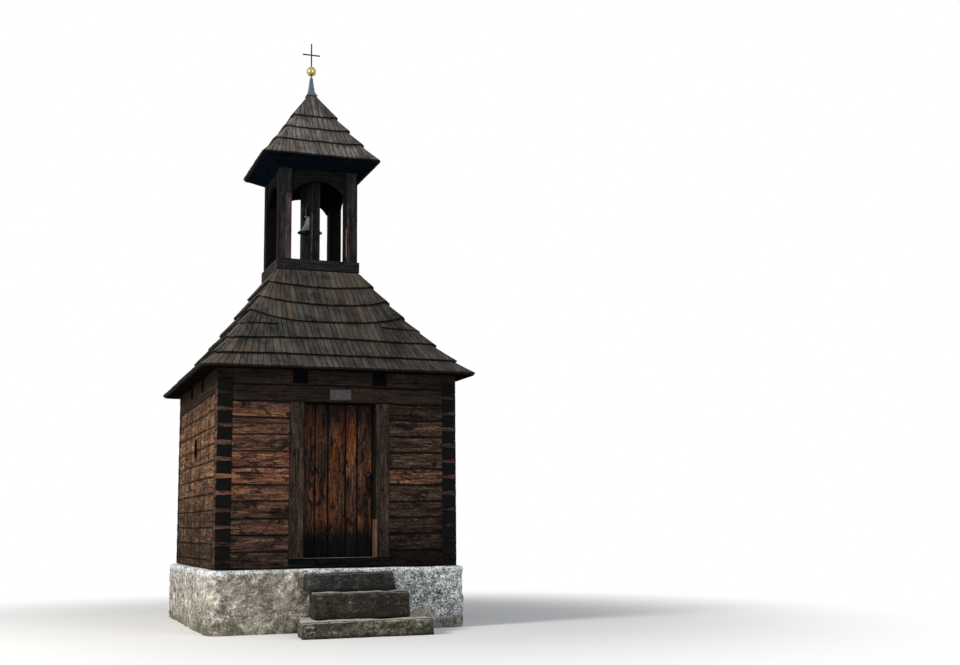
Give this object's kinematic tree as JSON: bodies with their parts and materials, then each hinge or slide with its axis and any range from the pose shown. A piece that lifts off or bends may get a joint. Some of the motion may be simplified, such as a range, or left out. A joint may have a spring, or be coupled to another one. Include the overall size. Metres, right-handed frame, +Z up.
{
  "type": "small log belfry",
  "caption": "Log-walled bell tower on a rubble plinth, with a bellcast shingled roof, an open arched bell stage and a swinging bell.",
  "frame": {"origin": "middle of the plinth's underside, under the tower's axis, on the lowest ground", "axes": "+Z up; the door and the steps face -Y; +X is to the right of someone who faces the door"},
  "size_m": [3.47, 4.8503, 8.06],
  "materials": {
    "render": "rough whitewashed lime render",
    "step_stone": "rough weathered stone",
    "log": "weathered squared log, stained brown",
    "frame_wood": "weathered grey-brown planed beam",
    "dark_wood": "dark stained timber in shade",
    "floor_wood": "worn floor board",
    "door_wood": "weathered orange-brown door board",
    "shingle": "tarred split shingle",
    "iron": "forged dark iron",
    "bell_metal": "dull cast bell metal",
    "sheet_metal": "blue-grey painted sheet",
    "gilding": "gilded copper ball",
    "plate": "dull painted plate"
  },
  "bodies": {
    "tower": {"plinth": "render", "step_bottom": "step_stone", "step_middle": "step_stone", "step_top": "step_stone", "floor_boards": "floor_wood", "threshold": "frame_wood", "door_post_left": "frame_wood", "door_post_right": "frame_wood", "front_wall_left": "log", "front_wall_right": "log", "lintel_log": "log", "left_wall": "log", "right_wall": "log", "back_wall": "log", "end_plates": "log", "side_plates": "log", "tie_beams": "dark_wood", "cross_beams": "dark_wood", "main_soffit": "dark_wood", "main_roof": "shingle", "stage_sill": "frame_wood", "stage_deck": "dark_wood", "post_front_left": "frame_wood", "post_front_right": "frame_wood", "post_back_left": "frame_wood", "post_back_right": "frame_wood", "arch_front": "dark_wood", "arch_back": "dark_wood", "arch_left": "dark_wood", "arch_right": "dark_wood", "bell_posts": "dark_wood", "head_frame": "dark_wood", "upper_soffit": "dark_wood", "upper_roof": "shingle", "finial_cap": "sheet_metal", "finial_ball": "gilding", "cross": "iron", "door_pintles": "iron", "plaque": "plate"},
    "door": {"door_leaf": "door_wood", "door_straps": "iron", "door_handle": "iron"},
    "bell": {"bell": "bell_metal", "headstock": "dark_wood", "bell_irons": "iron"}
  },
  "joints": [
    {"name": "door_hinge", "type": "hinge", "parent": "tower", "child": "door", "pos_m": [-0.463, -1.603, 1.75], "axis": [0, 0, 1], "range_deg": [0, 100]},
    {"name": "bell_swing", "type": "hinge", "parent": "tower", "child": "bell", "pos_m": [0, 0, 5.5953], "axis": [0, 1, 0], "range_deg": [-30, 30]}
  ]
}
